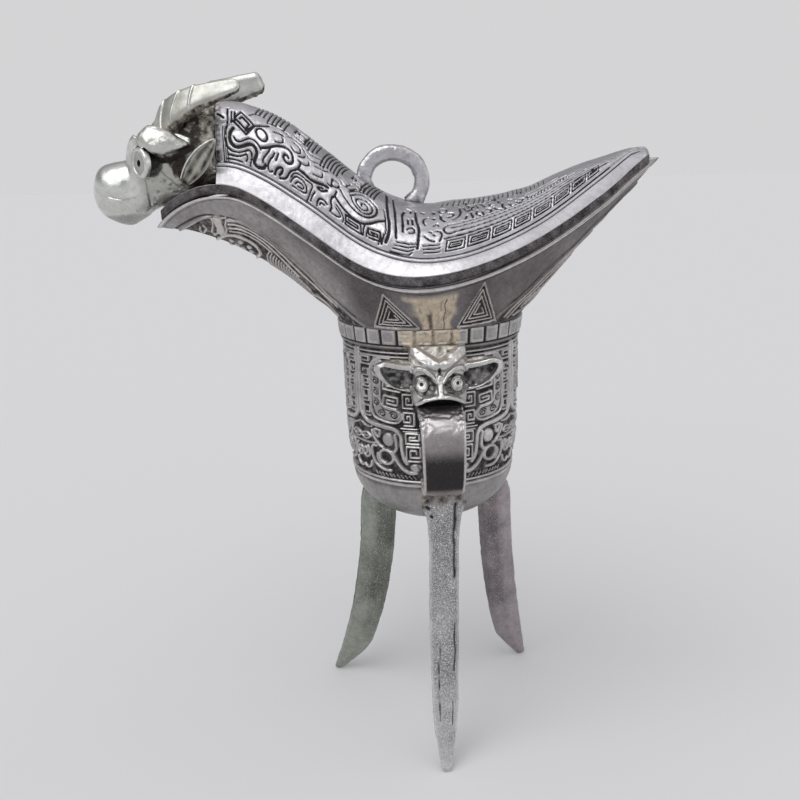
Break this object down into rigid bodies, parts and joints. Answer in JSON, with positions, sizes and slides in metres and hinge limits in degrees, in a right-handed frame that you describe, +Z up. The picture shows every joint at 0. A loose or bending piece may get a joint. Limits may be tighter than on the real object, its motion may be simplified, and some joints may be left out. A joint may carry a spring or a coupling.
{
  "type": "lidded tripod wine vessel",
  "caption": "Lidded ritual wine vessel on blade legs, with a pouring spout, pointed tail, strap handle under a beast mask and a lift-off lid ending in an ox head.",
  "frame": {"origin": "middle of the vessel's outer box in plan, at the level the feet stand on", "axes": "+Z up; the spout and the ox head point to -X, the tail to +X; the handle faces -Y"},
  "size_m": [0.1142, 0.0522, 0.1425],
  "materials": {
    "aged_metal": "silver-white cast bronze, satin, with black in the recesses",
    "bright_metal": "silver-white cast bronze, polished on the high parts, black in the recesses",
    "cast_leg_metal": "silver-grey cast bronze, matt and finely grained"
  },
  "bodies": {
    "vessel": {"handle_mask": "aged_metal", "handle_strap": "aged_metal", "leg_handle_side": "cast_leg_metal", "leg_spout_side": "cast_leg_metal", "leg_tail_side": "cast_leg_metal", "vessel_body": "aged_metal"},
    "lid": {"lid_cover": "bright_metal", "lid_ring": "bright_metal", "ox_ear_far": "bright_metal", "ox_ear_near": "bright_metal", "ox_eye_far": "bright_metal", "ox_eye_near": "bright_metal", "ox_head": "bright_metal", "ox_horn_far": "bright_metal", "ox_horn_near": "bright_metal"}
  },
  "joints": [
    {"name": "lid_lift", "type": "slide", "parent": "vessel", "child": "lid", "axis": [0, 0, 1], "range_m": [0, 0.05]}
  ]
}
